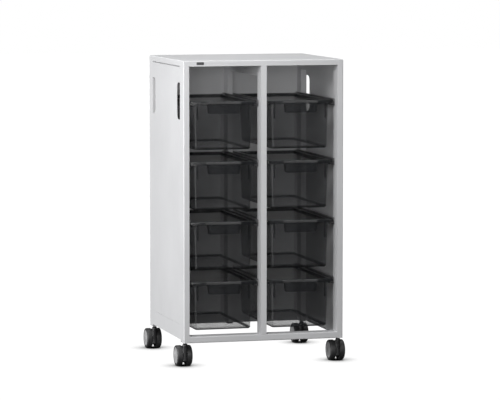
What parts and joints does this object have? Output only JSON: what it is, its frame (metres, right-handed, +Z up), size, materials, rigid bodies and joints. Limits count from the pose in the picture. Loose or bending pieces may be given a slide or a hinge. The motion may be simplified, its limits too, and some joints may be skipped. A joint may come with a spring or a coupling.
{
  "type": "mobile tray cabinet",
  "caption": "Tall open-front sheet-steel ward cabinet on twin-wheel castors, with two columns of smoky clear sliding trays on runners and hand slots in both sides.",
  "frame": {"origin": "on the floor, at the centre of the whole outline", "axes": "+Z up, the open front faces -Y, +X to the right seen from the front"},
  "size_m": [0.72, 0.6593, 1.26],
  "materials": {
    "body_coat": "satin powder coat, light grey",
    "tray_plastic": "smoky clear injection-moulded plastic",
    "runner_plastic": "dark grey moulded plastic",
    "castor_plastic": "black semi-gloss nylon",
    "wheel_tread": "black tread",
    "hub_cap": "light grey disc",
    "socket_plastic": "black nylon",
    "steel": "zinc plated",
    "badge": "blank dark plate"
  },
  "bodies": {
    "carcass": {"top_panel": "body_coat", "left_side_panel": "body_coat", "right_side_panel": "body_coat", "back_panel": "body_coat", "front_left_post": "body_coat", "front_right_post": "body_coat", "rear_left_post": "body_coat", "rear_right_post": "body_coat", "front_centre_post": "body_coat", "rear_centre_post": "body_coat", "bottom_front_rail": "body_coat", "left_bottom_rail": "body_coat", "right_bottom_rail": "body_coat", "left_top_rail": "body_coat", "right_top_rail": "body_coat", "centre_top_rail": "body_coat", "blank_badge": "badge", "runner_screws": "steel", "castor_sockets": "socket_plastic", "castor_stems": "steel", "left_runners_1": "runner_plastic", "left_runners_2": "runner_plastic", "left_runners_3": "runner_plastic", "left_runners_4": "runner_plastic", "right_runners_1": "runner_plastic", "right_runners_2": "runner_plastic", "right_runners_3": "runner_plastic", "right_runners_4": "runner_plastic"},
    "left_tray_1": {"left_tray_1": "tray_plastic"},
    "left_tray_2": {"left_tray_2": "tray_plastic"},
    "left_tray_3": {"left_tray_3": "tray_plastic"},
    "left_tray_4": {"left_tray_4": "tray_plastic"},
    "right_tray_1": {"right_tray_1": "tray_plastic"},
    "right_tray_2": {"right_tray_2": "tray_plastic"},
    "right_tray_3": {"right_tray_3": "tray_plastic"},
    "right_tray_4": {"right_tray_4": "tray_plastic"},
    "front_left_castor": {"front_left_castor_housing": "castor_plastic", "front_left_castor_axle": "steel"},
    "front_left_castor_left_wheel": {"front_left_castor_left_wheel": "wheel_tread", "front_left_castor_left_cap": "hub_cap"},
    "front_left_castor_right_wheel": {"front_left_castor_right_wheel": "wheel_tread", "front_left_castor_right_cap": "hub_cap"},
    "front_right_castor": {"front_right_castor_housing": "castor_plastic", "front_right_castor_axle": "steel"},
    "front_right_castor_left_wheel": {"front_right_castor_left_wheel": "wheel_tread", "front_right_castor_left_cap": "hub_cap"},
    "front_right_castor_right_wheel": {"front_right_castor_right_wheel": "wheel_tread", "front_right_castor_right_cap": "hub_cap"},
    "rear_left_castor": {"rear_left_castor_housing": "castor_plastic", "rear_left_castor_axle": "steel"},
    "rear_left_castor_left_wheel": {"rear_left_castor_left_wheel": "wheel_tread", "rear_left_castor_left_cap": "hub_cap"},
    "rear_left_castor_right_wheel": {"rear_left_castor_right_wheel": "wheel_tread", "rear_left_castor_right_cap": "hub_cap"},
    "rear_right_castor": {"rear_right_castor_housing": "castor_plastic", "rear_right_castor_axle": "steel"},
    "rear_right_castor_left_wheel": {"rear_right_castor_left_wheel": "wheel_tread", "rear_right_castor_left_cap": "hub_cap"},
    "rear_right_castor_right_wheel": {"rear_right_castor_right_wheel": "wheel_tread", "rear_right_castor_right_cap": "hub_cap"}
  },
  "joints": [
    {"name": "left_tray_1_slide", "type": "slide", "parent": "carcass", "child": "left_tray_1", "axis": [0, -1, 0], "range_m": [0, 0.42]},
    {"name": "left_tray_2_slide", "type": "slide", "parent": "carcass", "child": "left_tray_2", "axis": [0, -1, 0], "range_m": [0, 0.42]},
    {"name": "left_tray_3_slide", "type": "slide", "parent": "carcass", "child": "left_tray_3", "axis": [0, -1, 0], "range_m": [0, 0.42]},
    {"name": "left_tray_4_slide", "type": "slide", "parent": "carcass", "child": "left_tray_4", "axis": [0, -1, 0], "range_m": [0, 0.42]},
    {"name": "right_tray_1_slide", "type": "slide", "parent": "carcass", "child": "right_tray_1", "axis": [0, -1, 0], "range_m": [0, 0.42]},
    {"name": "right_tray_2_slide", "type": "slide", "parent": "carcass", "child": "right_tray_2", "axis": [0, -1, 0], "range_m": [0, 0.42]},
    {"name": "right_tray_3_slide", "type": "slide", "parent": "carcass", "child": "right_tray_3", "axis": [0, -1, 0], "range_m": [0, 0.42]},
    {"name": "right_tray_4_slide", "type": "slide", "parent": "carcass", "child": "right_tray_4", "axis": [0, -1, 0], "range_m": [0, 0.42]},
    {"name": "front_left_castor_swivel", "type": "hinge", "parent": "carcass", "child": "front_left_castor", "pos_m": [-0.328, -0.29785, 0.1], "axis": [0, 0, 1], "continuous": true},
    {"name": "front_left_castor_left_roll", "type": "hinge", "parent": "front_left_castor", "child": "front_left_castor_left_wheel", "pos_m": [-0.328, -0.26285, 0.0425], "axis": [1, 0, 0], "continuous": true},
    {"name": "front_left_castor_right_roll", "type": "hinge", "parent": "front_left_castor", "child": "front_left_castor_right_wheel", "pos_m": [-0.328, -0.26285, 0.0425], "axis": [1, 0, 0], "continuous": true},
    {"name": "front_right_castor_swivel", "type": "hinge", "parent": "carcass", "child": "front_right_castor", "pos_m": [0.328, -0.29785, 0.1], "axis": [0, 0, 1], "continuous": true},
    {"name": "front_right_castor_left_roll", "type": "hinge", "parent": "front_right_castor", "child": "front_right_castor_left_wheel", "pos_m": [0.328, -0.26285, 0.0425], "axis": [1, 0, 0], "continuous": true},
    {"name": "front_right_castor_right_roll", "type": "hinge", "parent": "front_right_castor", "child": "front_right_castor_right_wheel", "pos_m": [0.328, -0.26285, 0.0425], "axis": [1, 0, 0], "continuous": true},
    {"name": "rear_left_castor_swivel", "type": "hinge", "parent": "carcass", "child": "rear_left_castor", "pos_m": [-0.328, 0.25215, 0.1], "axis": [0, 0, 1], "continuous": true},
    {"name": "rear_left_castor_left_roll", "type": "hinge", "parent": "rear_left_castor", "child": "rear_left_castor_left_wheel", "pos_m": [-0.328, 0.28715, 0.0425], "axis": [1, 0, 0], "continuous": true},
    {"name": "rear_left_castor_right_roll", "type": "hinge", "parent": "rear_left_castor", "child": "rear_left_castor_right_wheel", "pos_m": [-0.328, 0.28715, 0.0425], "axis": [1, 0, 0], "continuous": true},
    {"name": "rear_right_castor_swivel", "type": "hinge", "parent": "carcass", "child": "rear_right_castor", "pos_m": [0.328, 0.25215, 0.1], "axis": [0, 0, 1], "continuous": true},
    {"name": "rear_right_castor_left_roll", "type": "hinge", "parent": "rear_right_castor", "child": "rear_right_castor_left_wheel", "pos_m": [0.328, 0.28715, 0.0425], "axis": [1, 0, 0], "continuous": true},
    {"name": "rear_right_castor_right_roll", "type": "hinge", "parent": "rear_right_castor", "child": "rear_right_castor_right_wheel", "pos_m": [0.328, 0.28715, 0.0425], "axis": [1, 0, 0], "continuous": true}
  ]
}
